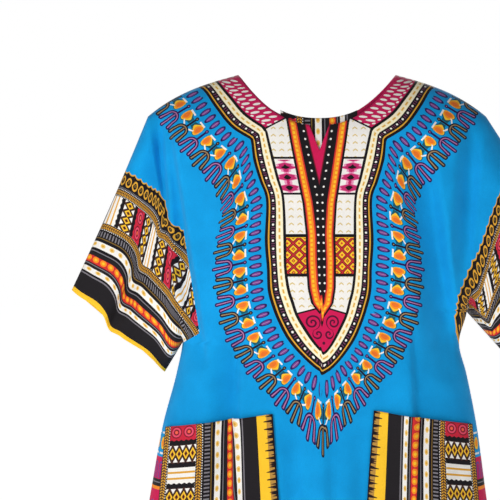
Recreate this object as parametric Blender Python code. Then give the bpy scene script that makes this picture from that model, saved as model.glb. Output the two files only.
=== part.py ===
"""Dashiki shirt, worn and hollow, as thin faceted walls.

The shirt is cut kimono-fashion: one front and one back, each running from cuff to cuff, sewn together along
the shoulders and sleeve tops and again along the underarms and sides. A patch pocket lies on each side of
the front, and a striped strip shows behind the notch of the neckline.

Metres, +Z up, the front faces -Y. The origin is midway between the two neck points, where the shoulder
seams meet the neckline and the wearer holds the shirt up. "left" and "right" are seen from the front.
"""

import math

import bpy
import numpy as np

# Cloth
WALL = 0.0014
SEAM_GAP = 0.0003
POCKET_CLEARANCE = 0.0024

# Neckline: half the opening at the shoulder seams, and the drop at the centre of each panel
NECK_HALF_WIDTH = 0.122
FRONT_NECK_DROP = 0.084
BACK_NECK_DROP = 0.066
NECK_POWER = 2.3
NOTCH_HALF_WIDTH = 0.015
NOTCH_DEPTH = 0.122

# Shoulders: the line falls by the slope and by the curl times the cube of the distance from the neck
SHOULDER_SLOPE = 0.27
SHOULDER_CURL = 9.7
SHOULDER_ROUND = 0.10
TIP_HALF_WIDTH = 0.262
YOKE_HALF_WIDTH = 0.315
YOKE_EASE = 0.05

# Length from the neck points to the hem, and how boxy the body's oval is (2 is an ellipse)
HEM = -0.76
BOX_POWER = 2.5

# Grid of each panel
NECK_COLUMNS = 7
SHOULDER_COLUMNS = 8
ARMHOLE_ROWS = 12
SKIRT_ROWS = 12
SLEEVE_RINGS = 8

# Body sections below the underarms. Columns: height, half width at left and right, depth of front and back.
SECTIONS = np.array(
    [
        (0.000, 0.208, 0.231, 0.070, 0.066),
        (-0.100, 0.208, 0.231, 0.098, 0.094),
        (-0.200, 0.208, 0.231, 0.112, 0.102),
        (-0.300, 0.208, 0.231, 0.117, 0.099),
        (-0.366, 0.208, 0.231, 0.116, 0.098),
        (-0.414, 0.208, 0.219, 0.114, 0.096),
        (-0.460, 0.217, 0.230, 0.113, 0.097),
        (-0.535, 0.237, 0.245, 0.115, 0.103),
        (-0.643, 0.257, 0.260, 0.120, 0.112),
        (-0.760, 0.277, 0.277, 0.124, 0.119),
    ],
    dtype=[(name, float) for name in ("z", "left", "right", "front", "back")],
)

# Sleeves: X and Z of the underarm point, then of the outer and the inner end of the cuff, how far the
# sleeve top bows out, and half the depth of the cuff.
SLEEVES = {
    "left": {
        "sign": -1,
        "underarm": (0.208, -0.414),
        "cuff_outer": (0.380, -0.333),
        "cuff_inner": (0.236, -0.460),
        "bow": -0.002,
        "cuff_depth": 0.031,
    },
    "right": {
        "sign": 1,
        "underarm": (0.231, -0.366),
        "cuff_outer": (0.412, -0.310),
        "cuff_inner": (0.298, -0.440),
        "bow": 0.002,
        "cuff_depth": 0.036,
    },
}

# Folds of the body. Columns: panel, X and Z of the upper and lower end, width towards the centre and away
# from it, height (below 0: trough).
FOLDS = [
    ("front", -0.238, -0.030, -0.172, -0.450, 0.022, 0.050, -0.028),
    ("front", 0.240, -0.060, 0.228, -0.330, 0.032, 0.030, -0.012),
    ("front", 0.152, -0.090, 0.206, -0.470, 0.055, 0.034, -0.017),
    ("front", 0.120, -0.180, 0.150, -0.420, 0.040, 0.030, 0.006),
    ("front", -0.150, -0.100, -0.140, -0.400, 0.040, 0.030, 0.006),
    ("front", -0.121, -0.340, -0.129, -0.640, 0.022, 0.050, -0.012),
    ("front", 0.134, -0.380, 0.143, -0.640, 0.050, 0.034, 0.009),
    ("front", 0.064, -0.520, 0.070, -0.800, 0.028, 0.030, -0.009),
    ("front", -0.170, -0.560, -0.190, -0.820, 0.030, 0.030, 0.010),
    ("front", 0.180, -0.560, 0.200, -0.820, 0.030, 0.030, 0.010),
    ("back", -0.225, -0.080, -0.180, -0.430, 0.024, 0.036, -0.022),
    ("back", 0.228, -0.080, 0.195, -0.420, 0.024, 0.036, -0.022),
    ("back", -0.130, -0.260, -0.160, -0.820, 0.050, 0.035, 0.013),
    ("back", -0.040, -0.340, -0.055, -0.820, 0.035, 0.035, -0.012),
    ("back", 0.045, -0.300, 0.052, -0.820, 0.045, 0.040, 0.013),
    ("back", 0.145, -0.280, 0.165, -0.820, 0.035, 0.045, -0.011),
]

# Patch pockets. Heights of the two ends of the opening, of the bottom, and X of the four corners.
POCKETS = {
    "left": {
        "sign": -1,
        "top": (-0.515, -0.541),
        "bottom": -0.715,
        "top_x": (0.070, 0.230),
        "bottom_x": (0.056, 0.246),
    },
    "right": {
        "sign": 1,
        "top": (-0.510, -0.536),
        "bottom": -0.715,
        "top_x": (0.080, 0.232),
        "bottom_x": (0.066, 0.246),
    },
}

# Striped strip behind the notch
INSERT_HALF_WIDTH = 0.058
INSERT_TOP = -0.071
INSERT_BOTTOM = -0.150
INSERT_CLEARANCE = 0.0025
INSERT_CELLS = 8

BLUE = (0.02, 0.33, 0.66, 1.0)
BLACK = (0.02, 0.018, 0.02, 1.0)
GOLD = (0.75, 0.45, 0.05, 1.0)


def smooth_table(column, z):
    """The named column of SECTIONS at height z, along cubic curves through its rows."""
    height = SECTIONS["z"][::-1]
    value = SECTIONS[column][::-1]
    slope = np.gradient(value, height)
    row = np.clip(np.searchsorted(height, z) - 1, 0, len(height) - 2)
    step = height[row + 1] - height[row]
    t = np.clip((z - height[row]) / step, 0.0, 1.0)
    rise = 3 * t**2 - 2 * t**3
    out = t**3 - 2 * t**2 + t
    into = t**3 - t**2
    ends = value[row] * (1 - rise) + value[row + 1] * rise
    return ends + step * (slope[row] * out + slope[row + 1] * into)


def seam_height(x):
    """Height of the shoulder seam above X: level across the neck, then a slope that steepens by the cube."""
    beyond = np.maximum(np.abs(x) - NECK_HALF_WIDTH, 0.0)
    return -SHOULDER_SLOPE * beyond - SHOULDER_CURL * beyond**3


def body_half_width(side, z):
    """Half width of the body. Above the underarm it grows towards the yoke, softly at first, for the armhole."""
    underarm = SLEEVES[side]["underarm"][1]
    rise = np.clip((z - underarm) / (seam_height(TIP_HALF_WIDTH) - underarm), 0.0, 1.0)
    width = smooth_table(side, np.minimum(z, underarm))
    return width + (YOKE_HALF_WIDTH - width) * (rise * rise / (rise + YOKE_EASE)) ** 0.6


def edge_half_width(side, z):
    """X at which the body's grid ends: the armhole above the underarm, and the side seam below it."""
    reach, underarm = SLEEVES[side]["underarm"]
    tip = seam_height(TIP_HALF_WIDTH)
    share = np.clip((z - underarm) / (tip - underarm), 0.0, 1.0)
    armhole = reach + (TIP_HALF_WIDTH - reach) * share**1.15
    return np.where(z > underarm, armhole, body_half_width(side, z))


def fold_height(panel, x, z):
    """Sum of the folds: across each a squared cosine of its own two widths, along it a half sine."""
    total = np.zeros(np.broadcast(x, z).shape)
    for where, x_top, z_top, x_end, z_end, inward, outward, height in FOLDS:
        if where != panel:
            continue
        along = (z_top - z) / (z_top - z_end)
        off = (x - x_top - (x_end - x_top) * along) * np.sign(x_top)
        across = np.clip(np.abs(off) / np.where(off < 0, inward, outward), 0.0, 1.0)
        fade = np.sin(math.pi * np.clip(along, 0.0, 1.0)) ** 0.8
        total += height * fade * np.cos(across * math.pi / 2) ** 2
    return total


def body_depth(panel, side, x, z):
    """Distance of a panel from the plane Y=0: a boxy oval across the body, rounded in over the shoulder.

    X is measured outwards from the centre on either side, and the folds are looked up at its true sign.
    """
    half = body_half_width(side, z)
    across = np.clip(1.0 - np.abs(x / half) ** BOX_POWER, 0.0, 1.0) ** (1 / BOX_POWER)
    drop = np.clip((seam_height(x) - z) / SHOULDER_ROUND, 0.0, 1.0)
    over = np.sqrt(1.0 - (1.0 - drop) ** 2)
    shape = across * over
    fold = fold_height(panel, SLEEVES[side]["sign"] * x, z)
    return smooth_table(panel, z) * shape + fold * np.minimum(1.0, 2.2 * shape**2)


def neck_edge(panel, x):
    """Height of the cut edge of the neckline at X, with the notch at the centre of the front."""
    drop = FRONT_NECK_DROP if panel == "front" else BACK_NECK_DROP
    edge = -drop * (1.0 - np.minimum(np.abs(x) / NECK_HALF_WIDTH, 1.0) ** NECK_POWER)
    if panel == "front":
        notch = np.clip(1.0 - np.abs(x) / NOTCH_HALF_WIDTH, 0.0, 1.0)
        edge = edge - (NOTCH_DEPTH - drop) * notch
    return edge


def top_x(side):
    """X of each column at the shoulder: neck columns with one at the notch's edge, then shoulder columns."""
    neck = np.linspace(NOTCH_HALF_WIDTH, NECK_HALF_WIDTH, NECK_COLUMNS)
    shoulder = np.linspace(NECK_HALF_WIDTH, TIP_HALF_WIDTH, SHOULDER_COLUMNS + 1)[1:]
    return np.concatenate([[0.0], neck, shoulder])


def body_grid(panel, side):
    """Points of half a body, rows downwards and columns outwards, as an array of X, Y, Z.

    The rows above the underarm run from the neckline and shoulder seam down to the underarm's level, and the
    others from there to the hem. Each row spreads its columns by angle round the body.
    """
    sleeve = SLEEVES[side]
    start = top_x(side)
    top = np.minimum(seam_height(start), neck_edge(panel, start))
    underarm = sleeve["underarm"][1]
    down = np.linspace(0.0, 1.0, ARMHOLE_ROWS + 1)[:, None]
    upper = top + (underarm - top) * down
    skirt = np.linspace(underarm, HEM, SKIRT_ROWS + 1)[1:, None]
    z = np.vstack([upper, np.repeat(skirt, len(start), axis=1)])

    # Angles round the body: the top row's come from its own X, and they ease to an even spread.
    first = np.arcsin(start / body_half_width(side, top))
    edge = np.arcsin(np.clip(edge_half_width(side, z[:, -1]) / body_half_width(side, z[:, -1]), 0.0, 1.0))
    even = np.linspace(0.0, 1.0, len(start))
    ease = np.clip(np.arange(len(z)) / ARMHOLE_ROWS, 0.0, 1.0)[:, None]
    share = (1 - ease) * first / first[-1] + ease * even
    x = body_half_width(side, z) * np.sin(share * edge[:, None])
    x[0] = start
    y = body_depth(panel, side, x, z)
    y[:, -1] = np.where(z[:, -1] <= underarm, 0.0, y[:, -1])
    y[0, NECK_COLUMNS:] = 0.0
    return np.stack([x, y, z], axis=2)


def sleeve_grid(panel, side, armhole):
    """Points of half a sleeve: rings from the armhole to the cuff, from the sleeve top to the underarm.

    A ring is held as three numbers a point: its share of the chord from top to bottom, its offset from that
    chord and its depth. They pass from the armhole's own to a flat ellipse at the cuff.
    """
    sleeve = SLEEVES[side]
    angle = np.linspace(0.0, math.pi, len(armhole))
    top_start = armhole[0, [0, 2]]
    low_start = armhole[-1, [0, 2]]
    chord = low_start - top_start
    length = np.linalg.norm(chord)
    unit = chord / length
    normal = np.array([-unit[1], unit[0]])
    flat = armhole[:, [0, 2]] - top_start
    start = np.stack([flat @ unit / length, flat @ normal, armhole[:, 1]], axis=1)
    swell = 1.0 if panel == "front" else 0.95
    cuff = np.stack(
        [(1 - np.cos(angle)) / 2, 0 * angle, sleeve["cuff_depth"] * swell * np.sin(angle)],
        axis=1,
    )
    rings = []
    for step in np.linspace(0.0, 1.0, SLEEVE_RINGS + 1):
        ease = step * step * (3 - 2 * step)
        top = top_start + (np.array(sleeve["cuff_outer"]) - top_start) * step
        low = low_start + (np.array(sleeve["cuff_inner"]) - low_start) * step
        top = top + np.array([1.0, 0.5]) * sleeve["bow"] * math.sin(math.pi * step)
        share, offset, depth = ((1 - ease) * start + ease * cuff).T
        span = low - top
        side_step = np.array([-span[1], span[0]]) / np.linalg.norm(span)
        place = top + share[:, None] * span + offset[:, None] * side_step
        rings.append(np.stack([place[:, 0], depth, place[:, 1]], axis=1))
    return np.array(rings)


def grid_faces(index, flip):
    """Quads of a grid of vertex numbers."""
    quads = np.stack([index[:-1, :-1], index[1:, :-1], index[1:, 1:], index[:-1, 1:]], axis=2)
    quads = quads.reshape(-1, 4)
    return quads[:, ::-1] if flip else quads


def vertex_normals(points, faces):
    """Area-weighted normals of the vertices of a quad mesh."""
    corner = points[faces]
    turn = np.cross(corner[:, 2] - corner[:, 0], corner[:, 3] - corner[:, 1])
    normals = np.zeros_like(points)
    for k in range(4):
        np.add.at(normals, faces[:, k], turn)
    return normals / np.linalg.norm(normals, axis=1, keepdims=True)


def border_edges(faces):
    """Directed edges that only one quad has."""
    edges = np.concatenate([faces[:, [k, (k + 1) % 4]] for k in range(4)])
    known = {tuple(edge) for edge in edges}
    return [edge for edge in map(tuple, edges) if edge[::-1] not in known]


def make_material(name, colour, roughness=0.8):
    material = bpy.data.materials.new(name)
    material.use_nodes = True
    shader = material.node_tree.nodes["Principled BSDF"]
    shader.inputs["Base Color"].default_value = colour
    shader.inputs["Roughness"].default_value = roughness
    shader.inputs["Metallic"].default_value = 0.0
    return material


def make_wall(name, points, faces, normals, material):
    """A closed wall: the given outer surface, its copy WALL further in, and a rim between their borders."""
    count = len(points)
    inner = points - WALL * normals
    walls = [tuple(face) for face in faces]
    walls += [tuple(count + face[::-1]) for face in faces]
    walls += [(b, a, count + a, count + b) for a, b in border_edges(faces)]
    mesh = bpy.data.meshes.new(name)
    mesh.from_pydata(np.vstack([points, inner]).tolist(), [], [tuple(map(int, w)) for w in walls])
    mesh.update()
    mesh.materials.append(material)
    shirt_piece = bpy.data.objects.new(name, mesh)
    bpy.context.scene.collection.objects.link(shirt_piece)
    return shirt_piece


def make_panel(panel, material):
    """One panel with its sleeve halves, as a single wall.

    The two halves of the body share their centre column, and each sleeve shares the armhole's points with
    its half. At the seams the rim lies flat, half the seam's gap from the plane Y=0.
    """
    facing = -1 if panel == "front" else 1
    points, faces, seams = [], [], []
    total = 0
    centre = None
    for side in ("left", "right"):
        sign = SLEEVES[side]["sign"]
        flip = (sign * facing) > 0
        body = body_grid(panel, side)
        rows, columns = body.shape[:2]
        if centre is None:
            index = total + np.arange(rows * columns).reshape(rows, columns)
            points.append(body.reshape(-1, 3) * (sign, facing, 1))
            total += rows * columns
            centre = index[:, 0]
            middle = body[:, 0]
        else:
            fresh = total + np.arange(rows * (columns - 1)).reshape(rows, columns - 1)
            index = np.hstack([centre[:, None], fresh])
            points.append(body[:, 1:].reshape(-1, 3) * (sign, facing, 1))
            total += rows * (columns - 1)
        faces.append(grid_faces(index, flip))
        seams += [index[0, NECK_COLUMNS:], index[ARMHOLE_ROWS:, -1]]

        sleeve = sleeve_grid(panel, side, body[: ARMHOLE_ROWS + 1, -1])
        rings, around = sleeve.shape[:2]
        fresh = total + np.arange((rings - 1) * around).reshape(rings - 1, around)
        points.append(sleeve[1:].reshape(-1, 3) * (sign, facing, 1))
        total += (rings - 1) * around
        index = np.vstack([index[: ARMHOLE_ROWS + 1, -1], fresh])
        faces.append(grid_faces(index.T, flip))
        seams += [index[:, 0], index[:, -1]]
    points = np.vstack(points)
    faces = np.vstack(faces)
    normals = vertex_normals(points, faces)
    seam = np.unique(np.concatenate(seams))
    normals[seam, 1] = 0.0
    normals[seam] /= np.linalg.norm(normals[seam], axis=1, keepdims=True)
    points[:, 1] += facing * SEAM_GAP / 2
    return make_wall(panel, points, faces, normals, material)


def front_patch(side, x, z, clearance):
    """Points of the front at X and Z, moved out along its normals by the clearance and a wall."""
    sign = SLEEVES[side]["sign"]
    step = 0.002
    here = body_depth("front", side, x, z)
    slope_x = (body_depth("front", side, x + step, z) - body_depth("front", side, x - step, z)) / (2 * step)
    slope_z = (body_depth("front", side, x, z + step) - body_depth("front", side, x, z - step)) / (2 * step)
    normal = np.stack([-slope_x, np.ones_like(x), -slope_z], axis=-1)
    normal /= np.linalg.norm(normal, axis=-1, keepdims=True)
    place = np.stack([x, here + SEAM_GAP / 2, z], axis=-1) + clearance * normal
    return place * (sign, -1, 1), normal * (sign, -1, 1)


def sample_grid(grid, row, column):
    """Points of a grid at fractional rows and columns, straight between its own points."""
    low_row = np.clip(np.floor(row).astype(int), 0, grid.shape[0] - 2)
    low_column = np.clip(np.floor(column).astype(int), 0, grid.shape[1] - 2)
    down = (row - low_row)[..., None]
    across = (column - low_column)[..., None]
    upper = grid[low_row, low_column] * (1 - across) + grid[low_row, low_column + 1] * across
    lower = grid[low_row + 1, low_column] * (1 - across) + grid[low_row + 1, low_column + 1] * across
    return upper * (1 - down) + lower * down


def make_pocket(side, material):
    """A patch pocket, made of the front's own points moved out.

    Its rows and columns are those of the front that lie inside its outline, with its four edges added.
    """
    pocket = POCKETS[side]
    sign = SLEEVES[side]["sign"]
    underarm = SLEEVES[side]["underarm"][1]
    grid = body_grid("front", side)
    index = np.arange(grid.shape[0] * grid.shape[1]).reshape(grid.shape[:2])
    faces = grid_faces(index, True)
    normals = vertex_normals(grid.reshape(-1, 3), faces).reshape(grid.shape)
    normals *= np.sign(normals[ARMHOLE_ROWS + 1, 1, 1])

    def row_at(z):
        return ARMHOLE_ROWS + (underarm - z) / (underarm - HEM) * SKIRT_ROWS

    def column_at(x, z):
        return np.arcsin(x / body_half_width(side, z)) / (math.pi / 2) * (grid.shape[1] - 1)

    def edge_x(which, z):
        fall = (pocket["top"][which] - z) / (pocket["top"][which] - pocket["bottom"])
        return pocket["top_x"][which] + (pocket["bottom_x"][which] - pocket["top_x"][which]) * fall

    top = np.array(pocket["top"])
    bottom = pocket["bottom"]
    corners = [column_at(edge_x(k, z), z) for k in (0, 1) for z in (top[k], bottom)]
    whole = np.arange(math.ceil(max(corners[:2]) + 0.1), math.floor(min(corners[2:]) - 0.1) + 1)
    rows = np.arange(math.ceil(row_at(top[1]) + 0.2), math.floor(row_at(bottom) - 0.2) + 1)
    skirt_z = underarm - (rows - ARMHOLE_ROWS) / SKIRT_ROWS * (underarm - HEM)

    # Heights of each column: the sloping opening, the front's own rows, the bottom
    whole_x = body_half_width(side, top.mean()) * np.sin(whole / (grid.shape[1] - 1) * math.pi / 2)
    share = np.clip((whole_x - pocket["top_x"][0]) / np.ptp(pocket["top_x"]), 0.0, 1.0)
    opening = top[0] + (top[1] - top[0]) * np.concatenate([[0.0], share, [1.0]])
    z = np.vstack([opening, np.repeat(skirt_z[:, None], len(opening), axis=1), np.full(len(opening), bottom)])
    column = np.repeat(np.concatenate([[0.0], whole, [0.0]])[None, :], len(z), axis=0)
    column[:, 0] = column_at(edge_x(0, z[:, 0]), z[:, 0])
    column[:, -1] = column_at(edge_x(1, z[:, -1]), z[:, -1])
    place = sample_grid(grid, row_at(z), column)
    out = sample_grid(normals, row_at(z), column)
    place[..., 1] += SEAM_GAP / 2
    place += (POCKET_CLEARANCE + WALL) * out
    index = np.arange(z.size).reshape(z.shape)
    faces = grid_faces(index, sign < 0)
    turned = (sign, -1, 1)
    return make_wall(
        f"pocket_{side}", place.reshape(-1, 3) * turned, faces, out.reshape(-1, 3) * turned, material
    )


def make_insert(material):
    """The strip behind the notch: a patch that lies inside the front, its top edge along the neckline."""
    x = np.linspace(-INSERT_HALF_WIDTH, INSERT_HALF_WIDTH, INSERT_CELLS * 2 + 1)[None, :]
    down = np.linspace(0.0, 1.0, INSERT_CELLS + 1)[:, None]
    top = INSERT_TOP * (1.0 - (np.abs(x) / NECK_HALF_WIDTH) ** NECK_POWER)
    z = top + (INSERT_BOTTOM - top) * down
    x = x + 0 * z
    left, left_normal = front_patch("left", -x, z, -(INSERT_CLEARANCE + WALL))
    right, right_normal = front_patch("right", x, z, -(INSERT_CLEARANCE + WALL))
    at_left = (x < 0)[..., None]
    points = np.where(at_left, left, right)
    normals = np.where(at_left, left_normal, right_normal)
    index = np.arange(x.size).reshape(x.shape)
    faces = grid_faces(index, False)
    return make_wall("neck_insert", points.reshape(-1, 3), faces, normals.reshape(-1, 3), material)


for old in list(bpy.data.objects):
    bpy.data.objects.remove(old, do_unlink=True)

print_cloth = make_material("printed_cotton", BLUE)
border_cloth = make_material("border_cotton", BLACK)
strip_cloth = make_material("striped_cotton", GOLD)

make_panel("front", print_cloth)
make_panel("back", print_cloth)
make_pocket("left", border_cloth)
make_pocket("right", border_cloth)
make_insert(strip_cloth)
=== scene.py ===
"""The looks of a dashiki shirt in printed cotton, cut kimono-fashion and shown worn and hollow.

Metres, +Z up, the front faces -Y, the origin is midway between the two neck points. The print is drawn in
centimetres, carried by each piece's own UV maps.
"""

import math

import bpy
import numpy as np
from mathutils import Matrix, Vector


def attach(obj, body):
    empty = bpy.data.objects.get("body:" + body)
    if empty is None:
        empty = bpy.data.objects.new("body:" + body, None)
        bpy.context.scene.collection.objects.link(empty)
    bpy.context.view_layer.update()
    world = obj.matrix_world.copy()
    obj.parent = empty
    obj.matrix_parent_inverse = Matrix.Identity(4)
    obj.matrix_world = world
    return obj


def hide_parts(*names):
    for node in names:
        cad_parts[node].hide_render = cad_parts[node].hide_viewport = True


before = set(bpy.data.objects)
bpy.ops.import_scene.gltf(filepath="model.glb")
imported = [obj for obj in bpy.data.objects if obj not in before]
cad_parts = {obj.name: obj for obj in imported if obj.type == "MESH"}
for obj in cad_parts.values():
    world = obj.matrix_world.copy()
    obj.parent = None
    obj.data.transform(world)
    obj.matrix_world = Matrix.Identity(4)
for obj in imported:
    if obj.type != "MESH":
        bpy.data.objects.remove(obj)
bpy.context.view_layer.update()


# ---------------------------------------------------------------------------------------------------------
# Front panel.
# One piece of thin printed cotton from cuff to cuff, with no armhole seam. It meets the back along the
# shoulders, sleeve tops and sides, and hangs in a boxy tube, with a deep tuck beside one sleeve.
# ---------------------------------------------------------------------------------------------------------

WALL = 0.0012
SEAM_GAP = 0.0003

NECK_HALF_WIDTH = 0.122
FRONT_NECK_DROP = 0.084
BACK_NECK_DROP = 0.066
NECK_POWER = 2.3
NOTCH_HALF_WIDTH = 0.015
NOTCH_DEPTH = 0.122

SHOULDER_SLOPE = 0.27
SHOULDER_CURL = 9.7
SHOULDER_ROUND = 0.10
TIP_HALF_WIDTH = 0.262
YOKE_HALF_WIDTH = 0.315
YOKE_EASE = 0.05
BOX_POWER = 2.5
HEM = -0.76

NOTCH_COLUMNS = 3
NECK_COLUMNS = 24
SHOULDER_COLUMNS = 32
ARMHOLE_ROWS = 72
SKIRT_ROWS = 72
SLEEVE_RINGS = 60

# Body sections; the half widths are for below the underarms. Columns: height, half width at left and right,
# depth of front and back.
SECTIONS = np.array(
    [
        (0.000, 0.208, 0.231, 0.070, 0.066),
        (-0.100, 0.208, 0.231, 0.098, 0.094),
        (-0.200, 0.208, 0.231, 0.112, 0.102),
        (-0.300, 0.208, 0.231, 0.117, 0.099),
        (-0.366, 0.208, 0.231, 0.116, 0.098),
        (-0.414, 0.208, 0.219, 0.114, 0.096),
        (-0.460, 0.217, 0.230, 0.113, 0.097),
        (-0.535, 0.237, 0.245, 0.115, 0.103),
        (-0.643, 0.257, 0.260, 0.120, 0.112),
        (-0.760, 0.277, 0.277, 0.124, 0.119),
    ],
    dtype=[(name, float) for name in ("z", "left", "right", "front", "back")],
)

# Sleeves: X and Z of the underarm point, then of the outer and the inner end of the cuff, how far the
# sleeve top bows out, half the depth of the cuff, and how strongly the sleeve is puckered.
SLEEVES = {
    "left": {
        "sign": -1,
        "underarm": (0.208, -0.414),
        "cuff_outer": (0.380, -0.333),
        "cuff_inner": (0.236, -0.460),
        "bow": -0.002,
        "cuff_depth": 0.031,
        "pucker": 1.0,
    },
    "right": {
        "sign": 1,
        "underarm": (0.231, -0.366),
        "cuff_outer": (0.412, -0.310),
        "cuff_inner": (0.298, -0.440),
        "bow": 0.002,
        "cuff_depth": 0.036,
        "pucker": 0.25,
    },
}

# Puckers of the sleeve front. Columns: share of the way from the sleeve top to the underarm, width, how far
# the cloth is drawn up, how far it is pressed out.
PUCKERS = [
    (0.25, 0.13, 0.0068, 0.004),
    (0.45, 0.06, -0.0075, -0.013),
    (0.56, 0.07, -0.0015, 0.003),
    (0.80, 0.12, 0.0050, 0.004),
]

# Folds of the body. Columns: panel, X and Z of the upper and lower end, width towards the centre and away
# from it, height (below 0: trough).
FOLDS = [
    ("front", -0.238, -0.030, -0.172, -0.450, 0.010, 0.046, -0.034),
    ("front", -0.246, -0.050, -0.228, -0.300, 0.012, 0.042, -0.034),
    ("front", 0.236, -0.060, 0.216, -0.330, 0.030, 0.022, -0.018),
    ("front", 0.152, -0.090, 0.206, -0.470, 0.055, 0.022, -0.024),
    ("front", 0.120, -0.180, 0.150, -0.420, 0.040, 0.030, 0.006),
    ("front", -0.150, -0.100, -0.140, -0.400, 0.040, 0.030, 0.006),
    ("front", -0.121, -0.340, -0.129, -0.640, 0.006, 0.050, -0.019),
    ("front", 0.134, -0.380, 0.143, -0.640, 0.050, 0.006, 0.011),
    ("front", -0.036, -0.500, -0.040, -0.800, 0.020, 0.024, -0.008),
    ("front", 0.002, -0.520, 0.006, -0.810, 0.020, 0.018, 0.008),
    ("front", 0.064, -0.520, 0.070, -0.800, 0.028, 0.030, -0.009),
    ("front", -0.170, -0.560, -0.190, -0.820, 0.030, 0.030, 0.010),
    ("front", 0.180, -0.560, 0.200, -0.820, 0.030, 0.030, 0.010),
    ("back", -0.225, -0.080, -0.180, -0.430, 0.020, 0.036, -0.022),
    ("back", 0.228, -0.080, 0.195, -0.420, 0.020, 0.036, -0.022),
    ("back", -0.130, -0.260, -0.160, -0.820, 0.050, 0.035, 0.013),
    ("back", -0.095, -0.320, -0.105, -0.800, 0.012, 0.030, -0.008),
    ("back", -0.040, -0.340, -0.055, -0.820, 0.035, 0.035, -0.012),
    ("back", 0.045, -0.300, 0.052, -0.820, 0.045, 0.040, 0.013),
    ("back", 0.100, -0.380, 0.112, -0.800, 0.030, 0.010, -0.008),
    ("back", 0.145, -0.280, 0.165, -0.820, 0.035, 0.045, -0.011),
]


def smooth_table(column, z):
    """The named column of SECTIONS at height z, along cubic curves through its rows."""
    height = SECTIONS["z"][::-1]
    value = SECTIONS[column][::-1]
    slope = np.gradient(value, height)
    row = np.clip(np.searchsorted(height, z) - 1, 0, len(height) - 2)
    step = height[row + 1] - height[row]
    t = np.clip((z - height[row]) / step, 0.0, 1.0)
    rise = 3 * t**2 - 2 * t**3
    out = t**3 - 2 * t**2 + t
    into = t**3 - t**2
    ends = value[row] * (1 - rise) + value[row + 1] * rise
    return ends + step * (slope[row] * out + slope[row + 1] * into)


def seam_height(x):
    """Height of the shoulder line above X: level across the neck, then a slope that steepens by the cube."""
    beyond = np.maximum(np.abs(x) - NECK_HALF_WIDTH, 0.0)
    return -SHOULDER_SLOPE * beyond - SHOULDER_CURL * beyond**3


def body_half_width(side, z):
    """Half width of the body; above the underarm it grows towards the yoke, softly at first."""
    underarm = SLEEVES[side]["underarm"][1]
    rise = np.clip((z - underarm) / (seam_height(TIP_HALF_WIDTH) - underarm), 0.0, 1.0)
    width = smooth_table(side, np.minimum(z, underarm))
    return width + (YOKE_HALF_WIDTH - width) * (rise * rise / (rise + YOKE_EASE)) ** 0.6


def edge_half_width(side, z):
    """X at which the body's grid ends: the sleeve's root above the underarm, the side seam below it."""
    reach, underarm = SLEEVES[side]["underarm"]
    tip = seam_height(TIP_HALF_WIDTH)
    share = np.clip((z - underarm) / (tip - underarm), 0.0, 1.0)
    root = reach + (TIP_HALF_WIDTH - reach) * share**1.15
    return np.where(z > underarm, root, body_half_width(side, z))


def fold_height(panel, x, z):
    """Sum of the folds: across each a squared cosine of its own two widths, along it a half sine."""
    total = np.zeros(np.broadcast(x, z).shape)
    for where, x_top, z_top, x_end, z_end, inward, outward, height in FOLDS:
        if where != panel:
            continue
        along = (z_top - z) / (z_top - z_end)
        off = (x - x_top - (x_end - x_top) * along) * np.sign(x_top)
        across = np.clip(np.abs(off) / np.where(off < 0, inward, outward), 0.0, 1.0)
        fade = np.sin(math.pi * np.clip(along, 0.0, 1.0)) ** 0.8
        total += height * fade * np.cos(across * math.pi / 2) ** 2
    return total


def body_depth(panel, side, sign, x, z):
    """Distance of a panel from the plane Y=0: a boxy oval across the body, rounded in over the shoulder."""
    half = body_half_width(side, z)
    across = np.clip(1.0 - np.abs(x / half) ** BOX_POWER, 0.0, 1.0) ** (1 / BOX_POWER)
    drop = np.clip((seam_height(x) - z) / SHOULDER_ROUND, 0.0, 1.0)
    over = np.sqrt(1.0 - (1.0 - drop) ** 2)
    shape = across * over
    return smooth_table(panel, z) * shape + fold_height(panel, sign * x, z) * np.minimum(1.0, 2.2 * shape**2)


def neck_edge(panel, x):
    """Height of the cut edge of the neckline at X, with the notch at the centre of the front."""
    drop = FRONT_NECK_DROP if panel == "front" else BACK_NECK_DROP
    edge = -drop * (1.0 - np.minimum(np.abs(x) / NECK_HALF_WIDTH, 1.0) ** NECK_POWER)
    if panel == "front":
        notch = np.clip(1.0 - np.abs(x) / NOTCH_HALF_WIDTH, 0.0, 1.0)
        edge = edge - (NOTCH_DEPTH - drop) * notch
    return edge


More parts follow.
